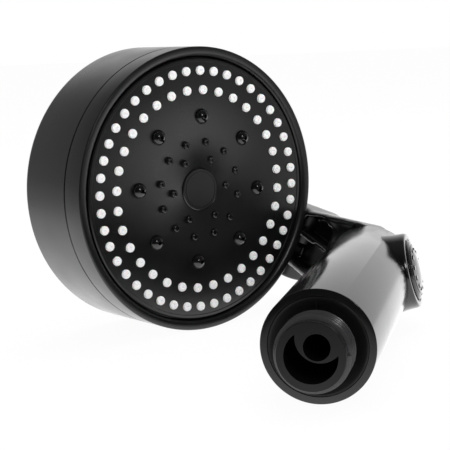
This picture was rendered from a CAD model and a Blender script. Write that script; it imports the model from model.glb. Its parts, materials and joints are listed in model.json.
"""Folding handheld shower head: visible pieces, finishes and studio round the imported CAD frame."""
import json
import math

import bmesh
import bpy
from bpy.props import FloatProperty, FloatVectorProperty, IntProperty, PointerProperty
from mathutils import Matrix, Vector


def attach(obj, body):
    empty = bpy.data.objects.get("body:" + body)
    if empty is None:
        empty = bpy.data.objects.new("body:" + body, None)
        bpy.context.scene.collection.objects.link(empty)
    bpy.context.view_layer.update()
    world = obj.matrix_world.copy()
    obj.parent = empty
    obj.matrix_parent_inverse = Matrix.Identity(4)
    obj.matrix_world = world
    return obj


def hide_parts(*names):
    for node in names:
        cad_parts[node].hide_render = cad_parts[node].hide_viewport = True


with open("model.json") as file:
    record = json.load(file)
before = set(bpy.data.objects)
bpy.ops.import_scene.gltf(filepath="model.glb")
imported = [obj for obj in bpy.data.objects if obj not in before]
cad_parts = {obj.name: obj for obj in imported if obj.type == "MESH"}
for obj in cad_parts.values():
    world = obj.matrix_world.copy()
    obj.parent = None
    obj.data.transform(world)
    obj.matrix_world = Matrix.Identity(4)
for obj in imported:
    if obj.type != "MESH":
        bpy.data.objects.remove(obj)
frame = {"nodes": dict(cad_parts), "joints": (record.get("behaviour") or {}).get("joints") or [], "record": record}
slots = {row["node"]: row["material_slot"] for row in frame["record"]["subparts"]}
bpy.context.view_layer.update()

bl_info = {
    "name": "Handheld shower head",
    "version": (1, 0, 0),
    "blender": (4, 5, 0),
    "location": "View3D > Sidebar > Shower",
    "description": "Builds a folding handheld shower head round its CAD frame",
    "category": "Add Mesh",
}

MM = 0.001
WELD = 1e-7               # merge distance, metres
SHARP_ANGLE = math.radians(34)
FINE_STEPS = 96           # facets round the button's hole and the boss, and in a turn of thread
BORE_STEPS = 128
NUB_STEPS = 24
NOZZLE_STEPS = 20
JET_STEPS = 40


# ---- Places, taken from the joints of the frame ----
def placement(origin, axis, radial):
    """Matrix with z along a piece's axis and x in a radial direction."""
    z = Vector(axis).normalized()
    x = Vector(radial) - z * Vector(radial).dot(z)
    x.normalize()
    turn = Matrix((x, z.cross(x), z)).transposed().to_4x4()
    return Matrix.Translation(origin) @ turn


joints = {joint["name"]: joint for joint in frame["joints"]}
UP = Vector((0, 0, 1))
ALONG = Vector((0, 1, 0))
face_axis = Vector(joints["mode_turn"]["axis"])
press_axis = -Vector(joints["button_press"]["axis"])
pivot_axis = -Vector(joints["head_fold"]["axis"])
HANDLE = placement((0, 0, 0), ALONG, (1, 0, 0))
FACE = placement(joints["mode_turn"]["pos_m"], face_axis, UP.cross(face_axis))
BUTTON = placement(joints["button_press"]["pos_m"], press_axis, ALONG)
TRUNNION = placement(joints["head_twist"]["pos_m"], joints["head_twist"]["axis"], pivot_axis)


# ---- Modelling helpers ----
def spin_shell(bm, profile, place, steps):
    """Add a closed shell spun from (radius, height) points in millimetres."""
    chain = [bm.verts.new(place @ Vector((radius * MM, 0, height * MM)))
             for radius, height in profile]
    edges = [bm.edges.new(pair) for pair in zip(chain, chain[1:])]
    if profile[0][0] or profile[-1][0]:
        edges.append(bm.edges.new((chain[-1], chain[0])))
    bmesh.ops.spin(bm, geom=chain + edges, cent=place.translation, axis=place.col[2].xyz,
                   dvec=(0, 0, 0), angle=math.tau, steps=steps, use_merge=True)


def arc(centre, radius, start, end, count):
    """Points of a round stretch of a profile, from one angle to another, in degrees."""
    turns = [math.radians(start + (end - start) * step / count) for step in range(count + 1)]
    return [(centre[0] + radius * math.cos(turn), centre[1] + radius * math.sin(turn))
            for turn in turns]


def polar(place, circle, angle, height):
    """Placement moved to a point of a circle round its axis, angle in degrees."""
    turn = math.radians(angle)
    spot = Vector((circle * math.cos(turn), circle * math.sin(turn), height)) * MM
    return place @ Matrix.Translation(spot)


def ring_of(count, first):
    """Angles of evenly spaced places round a circle, in degrees."""
    return [first + 360 * number / count for number in range(count)]


def box_shell(bm, place, low, high):
    """Add a closed box between two corners given in millimetres."""
    size = [(b - a) * MM for a, b in zip(low, high)]
    middle = Vector([(a + b) / 2 * MM for a, b in zip(low, high)])
    matrix = place @ Matrix.Translation(middle) @ Matrix.Diagonal((*size, 1))
    bmesh.ops.create_cube(bm, size=1, matrix=matrix)


def weld(bm):
    """Join vertices that coincide and turn every face outwards."""
    bmesh.ops.remove_doubles(bm, verts=bm.verts[:], dist=WELD)
    bmesh.ops.recalc_face_normals(bm, faces=bm.faces[:])


def add_object(bm, name):
    """Turn a bmesh into an object of the scene."""
    mesh = bpy.data.meshes.new(name)
    bm.to_mesh(mesh)
    bm.free()
    made = bpy.data.objects.new(name, mesh)
    bpy.context.scene.collection.objects.link(made)
    return made


def apply_modifiers(piece):
    """Give a piece the mesh that its modifiers make of it."""
    graph = bpy.context.evaluated_depsgraph_get()
    mesh = bpy.data.meshes.new_from_object(piece.evaluated_get(graph))
    piece.modifiers.clear()
    piece.data = mesh


def shade(piece):
    """Shade a piece smoothly, except over its sharp edges."""
    piece.data.shade_smooth()
    piece.data.set_sharp_from_angle(angle=SHARP_ANGLE)


def carve(piece, *cutters):
    """Cut closed shells, each given as a bmesh, out of a piece."""
    tools = []
    for cutter in cutters:
        weld(cutter)
        tool = add_object(cutter, "cutter")
        tools.append(tool)
        cut = piece.modifiers.new("cut", "BOOLEAN")
        cut.object = tool
        cut.solver = "EXACT"
    apply_modifiers(piece)
    shade(piece)
    for tool in tools:
        bpy.data.objects.remove(tool)


def make_piece(bm, name, body, slot, nodes=(), edge=0.0, finish=None):
    """Turn a bmesh into an object on a CAD body, in its slot's finish unless one is given."""
    weld(bm)
    piece = add_object(bm, name)
    shade(piece)
    piece.data.materials.append(finish_of(finish or slot))
    if edge:
        bevel = piece.modifiers.new("edge", "BEVEL")
        bevel.width = edge * MM
        bevel.segments = 3
        bevel.limit_method = "ANGLE"
        bevel.angle_limit = SHARP_ANGLE
        bevel.harden_normals = True
    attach(piece, body)
    if nodes:
        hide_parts(*nodes)
    return piece


# ---- Shader helpers ----
class Socket:
    """A shader value that builds Math nodes from Python expressions."""

    def __init__(self, owner, link):
        self.owner = owner
        self.link = link

    def _math(self, operation, other):
        return self.owner.node("ShaderNodeMath", {"operation": operation}, [self, other])

    def __add__(self, other):
        return self._math("ADD", other)

    def __sub__(self, other):
        return self._math("SUBTRACT", other)

    def __mul__(self, other):
        return self._math("MULTIPLY", other)

    def raised(self, other):
        """The greater of two values."""
        return self._math("MAXIMUM", other)


class NodeTree:
    """The nodes of a material or a world, made by a few methods."""

    def __init__(self, owner):
        owner.use_nodes = True
        self.tree = owner.node_tree

    def node(self, kind, settings, sockets, output=0):
        """Make a node, set its settings, then fill its sockets with values or links."""
        made = self.tree.nodes.new(kind)
        for title, value in settings.items():
            setattr(made, title, value)
        pairs = sockets.items() if isinstance(sockets, dict) else enumerate(sockets)
        for title, value in pairs:
            if isinstance(value, Socket):
                self.tree.links.new(value.link, made.inputs[title])
            else:
                made.inputs[title].default_value = value
        return Socket(self, made.outputs[output])

    def coordinates(self, kind="Object"):
        """Coordinates of a place, in the object or in the world."""
        return self.node("ShaderNodeTexCoord", {}, {}, kind)

    def along(self, axis, kind="Object"):
        """One coordinate of a place, along X, Y or Z."""
        return self.node("ShaderNodeSeparateXYZ", {}, [self.coordinates(kind)], axis)

    def spread(self, value, low, high, out_low, out_high):
        """Stretch a value from one range to another, clamped."""
        return self.node("ShaderNodeMapRange", {}, {
            "Value": value, "From Min": low, "From Max": high,
            "To Min": out_low, "To Max": out_high})

    def ray(self, title):
        """Whether the light path is of a kind, as 1 or 0."""
        return self.node("ShaderNodeLightPath", {}, {}, title)

    def white_light(self, kind, strength):
        """White light from an emission or background node."""
        return self.node(kind, {}, {"Color": (1, 1, 1, 1), "Strength": strength})

    def mixed(self, factor, first, second):
        """Shader between two shaders."""
        return self.node("ShaderNodeMixShader", {}, [factor, first, second])


class Shader(NodeTree):
    """A material whose pattern nodes feed its Principled surface."""

    def __init__(self, name, **constants):
        self.material = bpy.data.materials.new(name)
        super().__init__(self.material)
        self.surface = self.tree.nodes["Principled BSDF"]
        for title, value in constants.items():
            self.surface.inputs[title.replace("_", " ")].default_value = value

    def noise(self, scale, detail):
        """Noise between 0 and 1 at a scale per metre."""
        return self.node("ShaderNodeTexNoise", {}, {
            "Vector": self.coordinates(), "Scale": scale, "Detail": detail})

    def blend(self, factor, first, second):
        """Colour between two colours."""
        return self.node("ShaderNodeMix", {"data_type": "RGBA"}, {
            0: factor, 6: (*first, 1), 7: (*second, 1)}, 2)

    def feed(self, title, value):
        """Link a varying value to the surface."""
        self.tree.links.new(value.link, self.surface.inputs[title])

    def bump(self, height, strength, distance):
        """Raise the surface by a height pattern."""
        made = self.node("ShaderNodeBump", {}, {
            "Height": height, "Strength": strength, "Distance": distance})
        self.feed("Normal", made)


def tinted(colour, amount):
    """Colour scaled by an amount."""
    return tuple(min(1.0, part * amount) for part in colour)


def polished_plastic(name, colour, roughness):
    """Mirror-bright moulded plastic with faint handling smears and moulding waviness."""
    shader = Shader(name, IOR=1.5)
    smear = shader.noise(90.0, 4.0)
    dust = shader.noise(2600.0, 2.0)
    shader.feed("Base Color", shader.blend(smear, tinted(colour, 0.85), tinted(colour, 1.2)))
    shader.feed("Roughness", shader.spread(smear, 0.35, 0.75, roughness, roughness * 1.6)
                + shader.spread(dust, 0.62, 0.75, 0.0, 0.05))
    shader.bump(shader.noise(28.0, 1.0), 0.04, 0.0004)
    return shader.material


def satin_plastic(name, colour, roughness, grain=9000.0, depth=0.12):
    """Fine-textured moulded plastic with a soft sheen and slight rubbed patches."""
    shader = Shader(name, IOR=1.46)
    rub = shader.noise(60.0, 4.0)
    speck = shader.noise(grain, 2.0)
    shader.feed("Base Color", shader.blend(rub, tinted(colour, 0.8), tinted(colour, 1.25)))
    shader.feed("Roughness", shader.spread(rub, 0.3, 0.7, roughness - 0.04, roughness + 0.06)
                + (speck - 0.5) * 0.08)
    shader.bump(speck, depth, 0.00005)
    return shader.material


def soft_silicone(name, colour):
    """White silicone rubber, slightly translucent, with a dusty surface."""
    shader = Shader(name, IOR=1.42, Subsurface_Weight=0.12, Subsurface_Scale=0.0006)
    cloud = shader.noise(700.0, 3.0)
    shader.feed("Base Color", shader.blend(cloud, tinted(colour, 0.93), tinted(colour, 1.05)))
    shader.feed("Roughness", shader.spread(cloud, 0.3, 0.7, 0.5, 0.62))
    shader.bump(shader.noise(5000.0, 2.0), 0.1, 0.00004)
    return shader.material


def bare_steel(name, colour):
    """Drawn steel with fine lengthwise streaks."""
    shader = Shader(name, Metallic=1.0)
    streak = shader.noise(1800.0, 3.0)
    shader.feed("Base Color", shader.blend(streak, tinted(colour, 0.8), colour))
    shader.feed("Roughness", shader.spread(streak, 0.3, 0.7, 0.24, 0.4))
    return shader.material


def seal_rubber(name, colour):
    """Matt black sealing rubber."""
    shader = Shader(name, IOR=1.5)
    bloom = shader.noise(400.0, 3.0)
    shader.feed("Base Color", shader.blend(bloom, tinted(colour, 0.7), tinted(colour, 1.4)))
    shader.feed("Roughness", shader.spread(bloom, 0.3, 0.7, 0.6, 0.78))
    return shader.material


# ---- Sizes and colours that a user may change ----
class ShowerFinishes(bpy.types.PropertyGroup):
    """Colours and gloss of the materials."""

    gloss_black: FloatVectorProperty(
        name="Gloss black", description="Colour of the grip, the button and the neck",
        subtype="COLOR", default=(0.003, 0.003, 0.0032), min=0, max=1)
    satin_black: FloatVectorProperty(
        name="Satin black", description="Colour of the drum and its face",
        subtype="COLOR", default=(0.004, 0.004, 0.0042), min=0, max=1)
    nozzle_white: FloatVectorProperty(
        name="Nozzle white", description="Colour of the silicone nozzles",
        subtype="COLOR", default=(0.93, 0.93, 0.93), min=0, max=1)
    steel: FloatVectorProperty(
        name="Steel", description="Colour of screws and springs",
        subtype="COLOR", default=(0.6, 0.6, 0.61), min=0, max=1)
    grip_roughness: FloatProperty(
        name="Grip roughness", description="Gloss of the grip, where 0 is a mirror",
        default=0.12, min=0, max=1, subtype="FACTOR")
    satin_roughness: FloatProperty(
        name="Satin roughness", description="Gloss of the satin pieces",
        default=0.3, min=0, max=1, subtype="FACTOR")


class ShowerSizes(bpy.types.PropertyGroup):
    """Sizes of the pieces that are finished here, in metres or as counts."""

    round_steps: IntProperty(
        name="Round steps", description="Facets round the large turned pieces",
        default=192, min=48, max=512)
    thread_pitch: FloatProperty(
        name="Thread pitch", description="Rise of the hose thread in one turn",
        default=0.001814, min=0.0005, unit="LENGTH")
    thread_depth: FloatProperty(
        name="Thread depth", description="Height of the hose thread's ridge",
        default=0.00116, min=0.0002, unit="LENGTH")


def finishes():
    """The scene's finish settings."""
    return bpy.context.scene.shower_finishes


def sizes():
    """The scene's size settings."""
    return bpy.context.scene.shower_sizes


def finish_of(title):
    """Material of a slot, or of a finish that no slot has, made once."""
    made = bpy.data.materials.get("finish_" + title)
    if made:
        return made
    look = finishes()
    makers = {
        "gloss_black": lambda name: polished_plastic(name, look.gloss_black,
                                                     look.grip_roughness),
        "satin_black": lambda name: satin_plastic(name, look.satin_black, look.satin_roughness),
        "black_plastic": lambda name: satin_plastic(name, tinted(look.satin_black, 0.6),
                                                    0.38, 6000.0, 0.08),
        "thread_black": lambda name: satin_plastic(name, tinted(look.satin_black, 8.0),
                                                   0.2, 6000.0, 0.03),
        "neck_black": lambda name: satin_plastic(name, look.gloss_black, 0.2, 6000.0, 0.03),
        "white_silicone": lambda name: soft_silicone(name, look.nozzle_white),
        "seal_rubber": lambda name: seal_rubber(name, (0.02, 0.02, 0.02)),
        "stainless": lambda name: bare_steel(name, look.steel),
        "spring_steel": lambda name: bare_steel(name, tinted(look.steel, 0.85)),
    }
    return makers[title]("finish_" + title)


# ---- Pieces ----
class SHOWER_OT_frame_finishes(bpy.types.Operator):
    """Give every CAD node the material of its slot"""

    bl_idname = "shower.frame_finishes"
    bl_label = "Finish the frame"

    def execute(self, context):
        for name, node in frame["nodes"].items():
            node.data.materials.clear()
            node.data.materials.append(finish_of(slots[name]))
        return {"FINISHED"}


GRIP_RADIUS = 15.75
GRIP_BORE = 13.75
GRIP_START = 10.2
GRIP_END = 114.0
GRIP_EDGE = 0.25
GRIP_FINENESS = 4         # the grip's facets, as a multiple of the other large pieces'
BUTTON_HOLE = 12.2
BUTTON_HOLE_SPAN = (2, 24)


class SHOWER_OT_grip(bpy.types.Operator):
    """Build the polished grip tube with its hole for the button"""

    bl_idname = "shower.grip"
    bl_label = "Grip"

    def execute(self, context):
        bm = bmesh.new()
        profile = [(GRIP_BORE, GRIP_START), (GRIP_BORE, GRIP_END)]
        profile += arc((GRIP_RADIUS - GRIP_EDGE, GRIP_END - GRIP_EDGE), GRIP_EDGE, 90, 0, 4)
        profile += arc((GRIP_RADIUS - GRIP_EDGE, GRIP_START + GRIP_EDGE), GRIP_EDGE, 0, -90, 4)
        spin_shell(bm, profile, HANDLE, sizes().round_steps * GRIP_FINENESS)
        grip = make_piece(bm, "polished_grip", "handle", "gloss_black", ["grip_shell"])
        drill = bmesh.new()
        start, end = BUTTON_HOLE_SPAN
        spin_shell(drill, [(0, start), (BUTTON_HOLE, start), (BUTTON_HOLE, end), (0, end)],
                   BUTTON, FINE_STEPS)
        carve(grip, drill)
        return {"FINISHED"}


THREAD_MAJOR = 10.48
THREAD_START = 0.5
THREAD_TURNS = 4.4
THREAD_ROOT_SHARE = 0.46  # half of the ridge's width at its root, as a share of the pitch
THREAD_CREST_SHARE = 0.09
THREAD_SINK = 0.3         # how far the ridge reaches into the spigot
NIPPLE_LENGTH = 40.0
INLET_BORE = 7.2
CORE_DEPTH = 24.0
CHANNEL_RADIUS = 3.6
CHANNEL_OFFSET = (1.65, 2.55)
WEB_RADIUS = 6.5
WEB_OFFSET = (2.4, 4.9)
SPIGOT_LEAD = 0.8
NIPPLE_SHANK = 9.7
FLANGE_DEPTH = 3.0
END_CAP_THICKNESS = 2.6


class SHOWER_OT_hose_inlet(bpy.types.Operator):
    """Build the threaded inlet nipple with its water channel, and the end cap"""

    bl_idname = "shower.hose_inlet"
    bl_label = "Hose inlet"

    def execute(self, context):
        pitch, depth = sizes().thread_pitch / MM, sizes().thread_depth / MM
        root = THREAD_MAJOR - depth
        flange_start = GRIP_START + END_CAP_THICKNESS + 0.1
        flange_end = flange_start + FLANGE_DEPTH
        front = -SPIGOT_LEAD
        bm = bmesh.new()
        spin_shell(bm, [
            (0, front), (root - 0.1, front), (root + 0.1, front + 0.2), (root + 0.1, front + 0.6),
            (root, front + 0.8), (root, GRIP_START), (NIPPLE_SHANK, GRIP_START),
            (NIPPLE_SHANK, flange_start), (GRIP_BORE - 0.1, flange_start),
            (GRIP_BORE - 0.1, flange_end), (NIPPLE_SHANK, flange_end),
            (NIPPLE_SHANK, NIPPLE_LENGTH), (0, NIPPLE_LENGTH)], HANDLE, sizes().round_steps)
        spigot = make_piece(bm, "threaded_inlet", "handle", "black_plastic", ["inlet_nipple"])
        channel = self.bore(CHANNEL_OFFSET, CHANNEL_RADIUS, front - 1, NIPPLE_LENGTH + 1)
        carve(spigot, self.core(), channel)
        self.add_thread(root, depth, pitch)
        self.add_end_cap()
        return {"FINISHED"}

    def bore(self, offset, radius, start, end):
        """A closed rod beside the handle's axis, to be cut away."""
        bm = bmesh.new()
        place = HANDLE @ Matrix.Translation(Vector((offset[0], -offset[1], 0)) * MM)
        spin_shell(bm, [(0, start), (radius, start), (radius, end), (0, end)], place, BORE_STEPS)
        return bm

    def core(self):
        """The blind crescent beside the channel: a rod without the web round the channel."""
        bm = self.bore((0, 0), INLET_BORE, -SPIGOT_LEAD - 1, CORE_DEPTH)
        bmesh.ops.recalc_face_normals(bm, faces=bm.faces[:])
        rod = add_object(bm, "core")
        carve(rod, self.bore(WEB_OFFSET, WEB_RADIUS, -SPIGOT_LEAD - 2, CORE_DEPTH + 1))
        bm = bmesh.new()
        bm.from_mesh(rod.data)
        bpy.data.objects.remove(rod)
        return bm

    def add_thread(self, root, depth, pitch):
        """Sweep one ridge round the spigot, rising by one pitch in each turn."""
        bm = bmesh.new()
        half, crest = pitch * THREAD_ROOT_SHARE, pitch * THREAD_CREST_SHARE
        middle = THREAD_START + half
        inner = root - THREAD_SINK
        corners = [(inner, -half), (root, -half), (root + depth, -crest),
                   (root + depth, crest), (root, half), (inner, half)]
        section = [bm.verts.new(HANDLE @ Vector((radius * MM, 0, (middle + height) * MM)))
                   for radius, height in corners]
        end = bm.faces.new(section)
        bmesh.ops.spin(bm, geom=section + list(end.edges) + [end], cent=(0, 0, 0), axis=ALONG,
                       dvec=ALONG * (pitch * MM / FINE_STEPS), angle=math.tau * THREAD_TURNS,
                       steps=int(FINE_STEPS * THREAD_TURNS))
        make_piece(bm, "hose_thread_ridge", "handle", "black_plastic", finish="thread_black")

    def add_end_cap(self):
        """A dished ring between the grip and the thread, with a small moulding rib."""
        bm = bmesh.new()
        outer, inner = GRIP_BORE - 0.12, NIPPLE_SHANK + 0.05
        back = GRIP_START + END_CAP_THICKNESS
        spin_shell(bm, [(outer, back), (outer, GRIP_START + 0.12), (outer - 0.15, GRIP_START),
                        (outer - 0.9, GRIP_START + 0.05), (inner + 1.6, GRIP_START + 0.9),
                        (inner, GRIP_START + 1.0), (inner, back)], HANDLE, sizes().round_steps)
        box_shell(bm, HANDLE, (-0.15, -(outer - 0.4), GRIP_START + 0.05),
                  (0.15, -(inner + 0.1), back))
        make_piece(bm, "dished_end_cap", "handle", "black_plastic", ["end_cap"])


BEZEL_RADIUS = 12.1
BEZEL_BORE = 9.9
BEZEL_FACE = 16.6
BEZEL_DEPTH = 7.0
BUTTON_RADIUS = 9.6
BUTTON_EDGE = 17.2
BUTTON_CROWN = 1.6
BUTTON_SKIRT = 4.0
BUTTON_SOFTNESS = 0.15
THUMB_RIBS = 12
RIB_SPAN = (5.0, 7.0)
RIB_HALF_WIDTH = 0.75
RIB_RISE = 0.3
RIB_ROOT = 0.7


class SHOWER_OT_pause_button(bpy.types.Operator):
    """Build the button's bezel and its ribbed cap"""

    bl_idname = "shower.pause_button"
    bl_label = "Pause button"

    def execute(self, context):
        back = BEZEL_FACE - BEZEL_DEPTH
        bm = bmesh.new()
        spin_shell(bm, [
            (BEZEL_RADIUS, back - 2.6), (BEZEL_RADIUS + 0.9, back - 2.4),
            (BEZEL_RADIUS + 0.9, back - 0.6), (BEZEL_RADIUS + 0.7, back + 0.9),
            (BEZEL_RADIUS + 0.42, back + 2.8), (BEZEL_RADIUS + 0.25, back + 4.8),
            (BEZEL_RADIUS + 0.16, back + 6.2), (BEZEL_RADIUS, BEZEL_FACE - 0.45),
            (BEZEL_RADIUS - 0.15, BEZEL_FACE - 0.12), (BEZEL_RADIUS - 0.45, BEZEL_FACE),
            (BEZEL_BORE + 0.7, BEZEL_FACE), (BEZEL_BORE + 0.1, BEZEL_FACE - 0.5),
            (BEZEL_BORE, BEZEL_FACE - 0.9), (BEZEL_BORE, back + 1), (5.5, back + 1), (5.5, back)],
            BUTTON, sizes().round_steps)
        make_piece(bm, "bezel_ring", "handle", "satin_black", ["button_bezel"],
                   finish="gloss_black")
        self.add_cap()
        return {"FINISHED"}

    def add_cap(self):
        """A low domed cap with a rim groove and short ribs for the thumb."""
        sphere = (BUTTON_RADIUS ** 2 + BUTTON_CROWN ** 2) / (2 * BUTTON_CROWN)
        middle = BUTTON_EDGE + BUTTON_CROWN - sphere

        def crown(radius):
            """Height of the dome at a distance from the button's axis."""
            return middle + math.sqrt(sphere ** 2 - radius ** 2)

        bm = bmesh.new()
        skirt = BUTTON_EDGE - BUTTON_SKIRT
        dome = [(radius, crown(radius)) for radius in (0, 2, 4, 6, 7.4, 8)]
        spin_shell(bm, dome + [(8.15, crown(8.15) - 0.3), (8.45, crown(8.45) - 0.3),
                               (8.6, crown(8.6)), (9.2, crown(9.2) - 0.1),
                               (BUTTON_RADIUS, BUTTON_EDGE - 0.35), (BUTTON_RADIUS, skirt),
                               (0, skirt)], BUTTON, sizes().round_steps)
        inner, outer = RIB_SPAN
        for angle in ring_of(THUMB_RIBS, 180 / THUMB_RIBS):
            place = BUTTON @ Matrix.Rotation(math.radians(angle), 4, "Z")
            box_shell(bm, place, (inner, -RIB_HALF_WIDTH, crown(outer) - RIB_ROOT),
                      (outer, RIB_HALF_WIDTH, crown(outer) + RIB_RISE))
        make_piece(bm, "ribbed_button", "button", "satin_black", ["button_cap"],
                   BUTTON_SOFTNESS, "gloss_black")


DRUM_RADIUS = 47.0
DRUM_DEPTH = 35.0
DRUM_BORE = 44.4
DRUM_WALL = 2.6
RING_DEPTH = 9.0
SEAM = 9.3
BACK_FILLET = 2.5
BOSS_RADIUS = 5.3
BOSS_BORE = 3.95
BOSS_LENGTH = 7.0
BOSS_EDGE = 0.4
BOSS_RISE = 2.2           # how far the boss stands out of the drum's wall
LIP_BORE = 43.5
PLATE_FRONT = -0.9
PLATE_BACK = -3.1
PLATE_RADIUS = 43.4
CAP_RADIUS = 7.0


class SHOWER_OT_drum(bpy.types.Operator):
    """Build the drum's rear housing with its boss, and the turning ring"""

    bl_idname = "shower.drum"
    bl_label = "Drum"

    def execute(self, context):
        steps = sizes().round_steps
        corner = (DRUM_RADIUS - BACK_FILLET, BACK_FILLET - DRUM_DEPTH)
        inside = DRUM_WALL - DRUM_DEPTH
        bm = bmesh.new()
        profile = [(0, -DRUM_DEPTH)] + arc(corner, BACK_FILLET, -90, 0, 12)
        profile += [(DRUM_RADIUS, -SEAM - 0.25), (DRUM_RADIUS - 0.25, -SEAM), (DRUM_BORE, -SEAM),
                    (DRUM_BORE, inside), (0, inside)]
        spin_shell(bm, profile, FACE, steps)
        start = self.boss_start(joints["head_twist"])
        end = start + BOSS_LENGTH
        spin_shell(bm, [(BOSS_BORE, start), (BOSS_RADIUS - BOSS_EDGE, start),
                        (BOSS_RADIUS, start + BOSS_EDGE), (BOSS_RADIUS, end), (BOSS_BORE, end)],
                   TRUNNION, FINE_STEPS)
        make_piece(bm, "drum_housing", "head", "satin_black", ["head_housing"])
        self.add_ring(steps)
        return {"FINISHED"}

    def boss_start(self, joint):
        """Distance along the trunnion at which the boss begins, in millimetres."""
        along = Vector(joint["axis"]).normalized()
        across = along - face_axis * along.dot(face_axis)
        offset = Vector(joint["pos_m"]) - Vector(joints["mode_turn"]["pos_m"])
        offset -= face_axis * offset.dot(face_axis)
        a, b = across.dot(across), across.dot(offset)
        c = offset.dot(offset) - (DRUM_RADIUS * MM) ** 2
        return (-b - math.sqrt(b * b - a * c)) / a / MM - BOSS_RISE

    def add_ring(self, steps):
        """The front ring: a softly rounded rim that slopes in to a groove round the plate."""
        bm = bmesh.new()
        profile = [(DRUM_BORE, -RING_DEPTH), (DRUM_RADIUS - 0.2, -RING_DEPTH),
                   (DRUM_RADIUS, 0.2 - RING_DEPTH)]
        profile += arc((DRUM_RADIUS - 0.5, -0.5), 0.5, 0, 90, 6)
        profile += [(45.3, -0.02), (44.5, -0.35), (43.9, -1.0), (LIP_BORE, -1.9),
                    (LIP_BORE, PLATE_BACK), (LIP_BORE - 2, PLATE_BACK), (LIP_BORE - 2, -4.7),
                    (DRUM_BORE, -4.7)]
        spin_shell(bm, profile, FACE, steps)
        make_piece(bm, "turning_ring", "face", "satin_black", ["face_ring"])


RAIN_ROWS = ((44, 39.17, 4.7), (32, 32.85, 5.7))      # count, circle, first angle
JET_COUNT = 8
JET_CIRCLE = 24.1
JET_FIRST = -5.4
JET_RADIUS = 2.6
JET_SINK = 0.4
JET_BORE = 0.45
JET_FLOOR = 1.6
MIST_ROWS = ((12, 15.75, 17.6), (6, 10.6, 1.1))
MIST_NUB = ((0, -0.5), (0.25, -0.5), (0.34, 0.06), (0.8, 0.08), (1.1, -0.12), (1.25, -0.5),
            (1.3, PLATE_FRONT - 0.5), (0, PLATE_FRONT - 0.5))
RAIN_NOZZLE = ((0, -0.3), (0.22, -0.3), (0.3, -0.03), (0.5, 0.0), (1.1, 0.0), (1.38, -0.1),
               (1.5, -0.4), (1.5, PLATE_BACK - 1.2), (0, PLATE_BACK - 1.2))


class SHOWER_OT_spray_face(bpy.types.Operator):
    """Build the spray plate with its mist nubs, the white nozzles, jets and centre cap"""

    bl_idname = "shower.spray_face"
    bl_label = "Spray face"

    def execute(self, context):
        steps = sizes().round_steps
        bm = bmesh.new()
        spin_shell(bm, [(CAP_RADIUS + 0.12, PLATE_BACK), (CAP_RADIUS + 0.12, PLATE_FRONT - 0.12),
                        (CAP_RADIUS + 0.3, PLATE_FRONT), (41.9, PLATE_FRONT),
                        (42.1, PLATE_FRONT + 0.18), (42.9, PLATE_FRONT + 0.18),
                        (PLATE_RADIUS - 0.1, PLATE_FRONT - 0.2), (PLATE_RADIUS - 0.1, PLATE_BACK)],
                   FACE, steps)
        for count, circle, first in MIST_ROWS:
            for angle in ring_of(count, first):
                spin_shell(bm, MIST_NUB, polar(FACE, circle, angle, 0), NUB_STEPS)
        make_piece(bm, "spray_disc", "face", "satin_black", ["spray_plate"])
        self.add_nozzles()
        self.add_jets()
        self.add_cap(steps)
        return {"FINISHED"}

    def add_nozzles(self):
        """White nozzles in two rows, each a short tapered spout with a small bore."""
        bm = bmesh.new()
        for count, circle, first in RAIN_ROWS:
            for angle in ring_of(count, first):
                spin_shell(bm, RAIN_NOZZLE, polar(FACE, circle, angle, 0), NOZZLE_STEPS)
        make_piece(bm, "white_nozzles", "face", "white_silicone", ["nozzle_mat"])

    def add_jets(self):
        """Dark domes, each with a small round recess in its top."""
        bm = bmesh.new()
        dome = arc((0, 0), JET_RADIUS, 76, 0, 9)
        for angle in ring_of(JET_COUNT, JET_FIRST):
            spin_shell(bm, [(0, JET_FLOOR), (JET_BORE, JET_FLOOR)] + dome
                       + [(JET_RADIUS, -1.0), (0, -1.0)],
                       polar(FACE, JET_CIRCLE, angle, PLATE_FRONT - JET_SINK), JET_STEPS)
        make_piece(bm, "jet_domes", "face", "gloss_black", ["massage_jets"])

    def add_cap(self, steps):
        """A flat centre disc with a fine groove inside its chamfered edge."""
        top = PLATE_FRONT + 0.3
        groove = top - 0.12
        bm = bmesh.new()
        spin_shell(bm, [(0, top), (CAP_RADIUS - 1.2, top), (CAP_RADIUS - 1.15, groove),
                        (CAP_RADIUS - 0.95, groove), (CAP_RADIUS - 0.9, top),
                        (CAP_RADIUS - 0.3, top), (CAP_RADIUS, top - 0.3),
                        (CAP_RADIUS, top - 1.4), (0, top - 1.4)], FACE, steps)
        make_piece(bm, "centre_disc", "face", "satin_black", ["centre_cap"])


FACET_JOIN = 1e-6         # metres
FACET_ANGLE = math.radians(1.5)
PIVOT_SOFTNESS = 0.3
ARM_ROOT = (121.3, 6.0)   # along the handle's axis and out from it
# The neck's cuts and fills: x from the fold's axis to the arm's root, y up, z to the front
UPPER_RECESS = ((7.5, 0.4), (25.6, 0.4), (25.2, 2.8), (23.8, 5.2), (21.8, 7.2), (19.5, 8.3),
                (17.0, 8.4), (14.0, 7.4), (10.5, 6.0), (7.5, 5.2))
LOWER_RECESS = ((7.5, -2.0), (7.5, -10.5), (15.0, -10.8), (20.0, -10.0), (23.0, -8.0),
                (25.0, -5.0), (25.6, -2.0))
RECESS_FLOOR = 3.1
RECESS_REACH = 9
ROOT_FILL = ((25.4, -8.0, 3.6), (28.0, 8.0, 7.2))
EAR_SLOPE_WAY = (0.82, 0.57)      # x and z of the slope's run
EAR_SLOPE = ((2.5, 8.2), (-10.0, 5.7), (-14.0, 5.7), (-14.0, 12.0), (2.5, 12.0))
EAR_SLOPE_REACH = 12
BORE_PLUG = (5.2, 6.8)            # low and high
PLUG_HALF = 4.3
SPINDLE_CUT_HALF = 6.0
SPINDLE_CUT_TOP = 9.0
SKIN_GRAIN = 0.42
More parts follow.
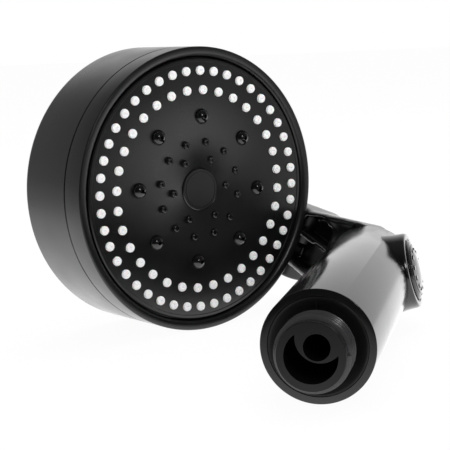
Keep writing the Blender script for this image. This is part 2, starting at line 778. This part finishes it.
SKIN_FREE_START = GRIP_END + 2.5  # where softening begins, along the handle
SKIN_SOFTNESS = 0.6
SKIN_PASSES = 30


class SHOWER_OT_neck(bpy.types.Operator):
    """Build the moulded neck with its two recesses, the knuckle and the pivot cap"""

    bl_idname = "shower.neck"
    bl_label = "Neck"

    def execute(self, context):
        for node, body in (("knuckle", "knuckle"), ("pivot_cap", "neck")):
            make_piece(self.copy_of(node), "rounded_" + node, body, "satin_black", [node],
                       PIVOT_SOFTNESS)
        self.add_neck()
        return {"FINISHED"}

    def copy_of(self, node):
        """A node's mesh with its flat facets joined."""
        bm = bmesh.new()
        bm.from_mesh(frame["nodes"][node].data)
        bmesh.ops.remove_doubles(bm, verts=bm.verts[:], dist=FACET_JOIN)
        bmesh.ops.dissolve_limit(bm, angle_limit=FACET_ANGLE, verts=bm.verts[:],
                                 edges=bm.edges[:], delimit={"NORMAL"})
        return bm

    def add_neck(self):
        """The moulded neck, whose edges and inner corners all run into each other."""
        pivot = Vector(joints["head_fold"]["pos_m"])
        out = (pivot - ALONG * pivot.dot(ALONG)).normalized()
        root = (ALONG * ARM_ROOT[0] + out * ARM_ROOT[1]) * MM
        arm = placement(pivot, (root - pivot).cross(pivot_axis), root - pivot)
        neck = make_piece(self.copy_of("neck_arm"), "rounded_neck", "neck", "gloss_black",
                          ["neck_arm"], finish="neck_black")
        carve(neck, self.recess(arm, UPPER_RECESS), self.recess(arm, LOWER_RECESS),
              self.ear_slope(arm))
        bm = bmesh.new()
        bm.from_mesh(neck.data)
        box_shell(bm, arm, *ROOT_FILL)
        low, high = BORE_PLUG
        box_shell(bm, arm, (-PLUG_HALF, low, -PLUG_HALF), (PLUG_HALF, high, PLUG_HALF))
        bm.to_mesh(neck.data)
        bm.free()
        self.mould(neck)
        self.add_spindle(arm)

    def add_spindle(self, arm):
        """The hollow spindle, which ends below the sloping top of its ear."""
        spindle = make_piece(self.copy_of("pivot_spindle"), "ended_spindle", "neck",
                             slots["pivot_spindle"], ["pivot_spindle"])
        bm = bmesh.new()
        box_shell(bm, arm, (-SPINDLE_CUT_HALF, BORE_PLUG[0] - 0.1, -SPINDLE_CUT_HALF),
                  (SPINDLE_CUT_HALF, SPINDLE_CUT_TOP, SPINDLE_CUT_HALF))
        carve(spindle, bm)

    def recess(self, arm, outline):
        """A block with a given outline, standing in front of the arm."""
        return self.slab([arm @ (Vector((x, y, RECESS_FLOOR)) * MM) for x, y in outline],
                         arm.col[2].xyz * RECESS_REACH * MM)

    def ear_slope(self, arm):
        """The block that lies over the sloping top of the upper ear."""
        upward = arm.col[1].xyz
        near = arm.col[0].xyz * EAR_SLOPE_WAY[0] + arm.col[2].xyz * EAR_SLOPE_WAY[1]
        aside = near.cross(upward) * EAR_SLOPE_REACH * MM
        return self.slab([arm.translation + (near * run + upward * rise) * MM - aside
                          for run, rise in EAR_SLOPE], aside * 2)

    def slab(self, corners, way):
        """A closed block swept from an outline."""
        bm = bmesh.new()
        face = bm.faces.new([bm.verts.new(corner) for corner in corners])
        raised = bmesh.ops.extrude_face_region(bm, geom=[face])["geom"]
        tops = [item for item in raised if isinstance(item, bmesh.types.BMVert)]
        bmesh.ops.translate(bm, verts=tops, vec=way)
        bmesh.ops.recalc_face_normals(bm, faces=bm.faces)
        return bm

    def mould(self, neck):
        """Join the neck's shells into one skin and soften it away from the grip."""
        skin = neck.modifiers.new("skin", "REMESH")
        skin.mode = "VOXEL"
        skin.voxel_size = SKIN_GRAIN * MM
        apply_modifiers(neck)
        start = SKIN_FREE_START * MM
        free = neck.vertex_groups.new(name="free")
        free.add([vertex.index for vertex in neck.data.vertices if vertex.co.y > start],
                 1.0, "ADD")
        soften = neck.modifiers.new("soften", "SMOOTH")
        soften.factor = SKIN_SOFTNESS
        soften.iterations = SKIN_PASSES
        soften.vertex_group = free.name
        apply_modifiers(neck)
        neck.vertex_groups.clear()
        neck.data.shade_smooth()


# ---- Studio ----
CAMERA_PLACE = (0.06285, -0.3424, 0.0883)
CAMERA_RIGHT = (0.9718, 0.2304, -0.0497)
CAMERA_UP = (0.0130, 0.158, 0.987)
CAMERA_LENS = 110.9
SENSOR_WIDTH = 36.0
TABLE_HEIGHT = -0.01575
FLOOR_SIZE = 3.0
FLOOR_GLOW = 1.0          # what the camera sees
FLOOR_GLOW_SHARE = 0.96   # the rest is the lit floor, with its shadow
FLOOR_SHINE = 1.9         # what reflections see in the pool of light, and outside it
FLOOR_DIM = 0.05
ROOM_FILL = 0.7
LAMPS = (                 # name, place, target, size, power, whether reflections show it
    ("top_light", (0.1, 0.35, 0.9), (0, 0.08, 0), 0.9, 9.0, False),
    ("side_light", (-0.8, -0.1, 0.1), (-0.06, 0.1, 0.03), 0.45, 1.2, False),
    ("front_light", (0.45, -0.55, 0.45), (0, 0.05, 0), 0.15, 1.2, True))


class SHOWER_OT_studio(bpy.types.Operator):
    """Add the camera, the pale floor and the soft lights"""

    bl_idname = "shower.studio"
    bl_label = "Studio"

    def execute(self, context):
        scene = context.scene
        scene.view_settings.view_transform = "Standard"
        lens = bpy.data.cameras.new("camera")
        lens.lens = CAMERA_LENS
        lens.sensor_width = SENSOR_WIDTH
        lens.clip_start = 0.01
        camera = bpy.data.objects.new("camera", lens)
        back = Vector(CAMERA_RIGHT).cross(Vector(CAMERA_UP)).normalized()
        right = Vector(CAMERA_UP).cross(back).normalized()
        turn = Matrix((right, back.cross(right), back)).transposed().to_4x4()
        camera.matrix_world = Matrix.Translation(CAMERA_PLACE) @ turn
        scene.collection.objects.link(camera)
        scene.camera = camera
        self.add_floor()
        self.add_world(scene)
        self.add_lamps(scene)
        return {"FINISHED"}

    def add_floor(self):
        """A wide floor, white to the camera, which reflections see as a pool of light."""
        bm = bmesh.new()
        bmesh.ops.create_grid(bm, x_segments=1, y_segments=1, size=FLOOR_SIZE,
                              matrix=Matrix.Translation((0, 0, TABLE_HEIGHT)))
        floor = add_object(bm, "floor")
        shader = Shader("floor_white", Roughness=0.9)
        tone = shader.noise(2.0, 1.0)
        shader.feed("Base Color", shader.blend(tone, (0.84, 0.84, 0.84), (0.88, 0.88, 0.88)))
        lit = Socket(shader, shader.surface.outputs[0])
        glow, shine, dim = (shader.white_light("ShaderNodeEmission", strength)
                            for strength in (FLOOR_GLOW, FLOOR_SHINE, FLOOR_DIM))
        across, ahead = shader.along("X"), shader.along("Y")
        pool = shader.spread(across, 0.1, 0.4, 1.0, 0.12).raised(
            shader.spread(ahead, 0.1, 0.3, 0.0, 1.0))
        pool = pool * shader.spread(ahead, -0.12, 0.04, 0.0, 1.0)
        pool = pool * shader.spread(ahead, 0.25, 0.9, 1.0, 0.72)
        pool = pool * shader.spread(across, -0.4, -0.12, 0.35, 1.0)
        plain = shader.mixed(shader.ray("Is Camera Ray") * FLOOR_GLOW_SHARE, lit, glow)
        glossy = shader.mixed(pool, dim, shine)
        look = shader.mixed(shader.ray("Is Glossy Ray"), plain, glossy)
        shader.tree.links.new(look.link, shader.tree.nodes["Material Output"].inputs["Surface"])
        floor.data.materials.append(shader.material)

    def add_world(self, scene):
        """A room, white to the camera, whose sides reflections see in different greys."""
        scene.world = bpy.data.worlds.new("studio")
        room = NodeTree(scene.world)
        room.tree.nodes.clear()
        across, ahead, above = (room.along(axis, "Generated") for axis in "XYZ")
        walls = (room.spread(across, 0.5, 0.95, 1.0, 0.25)
                 * room.spread(across, -1.0, -0.7, 0.36, 1.0)
                 * room.spread(ahead, -0.9, -0.1, 0.04, 1.0))
        height = room.spread(above, 0.1, 0.6, 1.0, 0.15).raised(
            room.spread(ahead, 0.4, 0.85, 0.0, 1.25))
        mirrored, fill, white = (room.white_light("ShaderNodeBackground", strength)
                                 for strength in (walls * height, ROOM_FILL, 1.0))
        unseen = room.mixed(room.ray("Is Glossy Ray"), fill, mirrored)
        look = room.mixed(room.ray("Is Camera Ray"), unseen, white)
        output = room.tree.nodes.new("ShaderNodeOutputWorld")
        room.tree.links.new(look.link, output.inputs["Surface"])

    def add_lamps(self, scene):
        """A large light above, a weak one on the left and a small one in front for glints."""
        for name, place, target, size, power, glints in LAMPS:
            light = bpy.data.lights.new(name, "AREA")
            light.size = size
            light.energy = power
            lamp = bpy.data.objects.new(name, light)
            lamp.visible_camera = False
            lamp.visible_glossy = glints
            aim = (Vector(target) - Vector(place)).to_track_quat("-Z", "Y")
            lamp.matrix_world = Matrix.Translation(place) @ aim.to_matrix().to_4x4()
            scene.collection.objects.link(lamp)


class SHOWER_PT_panel(bpy.types.Panel):
    """Lists the shower head's settings and building steps"""

    bl_idname = "SHOWER_PT_panel"
    bl_label = "Shower head"
    bl_space_type = "VIEW_3D"
    bl_region_type = "UI"
    bl_category = "Shower"

    def draw(self, context):
        for group in (context.scene.shower_finishes, context.scene.shower_sizes):
            for title in group.__annotations__:
                self.layout.prop(group, title)
        for operator in STEPS:
            self.layout.operator(operator.bl_idname)


STEPS = (SHOWER_OT_frame_finishes, SHOWER_OT_grip, SHOWER_OT_hose_inlet, SHOWER_OT_pause_button,
         SHOWER_OT_drum, SHOWER_OT_spray_face, SHOWER_OT_neck, SHOWER_OT_studio)
CLASSES = (ShowerFinishes, ShowerSizes) + STEPS + (SHOWER_PT_panel,)


def register():
    """Register the classes and their settings."""
    for item in CLASSES:
        bpy.utils.register_class(item)
    bpy.types.Scene.shower_finishes = PointerProperty(type=ShowerFinishes)
    bpy.types.Scene.shower_sizes = PointerProperty(type=ShowerSizes)


def unregister():
    """Remove the settings and the classes."""
    del bpy.types.Scene.shower_sizes
    del bpy.types.Scene.shower_finishes
    for item in reversed(CLASSES):
        bpy.utils.unregister_class(item)


def main():
    """Build everything in order."""
    register()
    bpy.ops.shower.frame_finishes()
    bpy.ops.shower.grip()
    bpy.ops.shower.hose_inlet()
    bpy.ops.shower.pause_button()
    bpy.ops.shower.drum()
    bpy.ops.shower.spray_face()
    bpy.ops.shower.neck()
    bpy.ops.shower.studio()


if __name__ == "__main__":
    main()
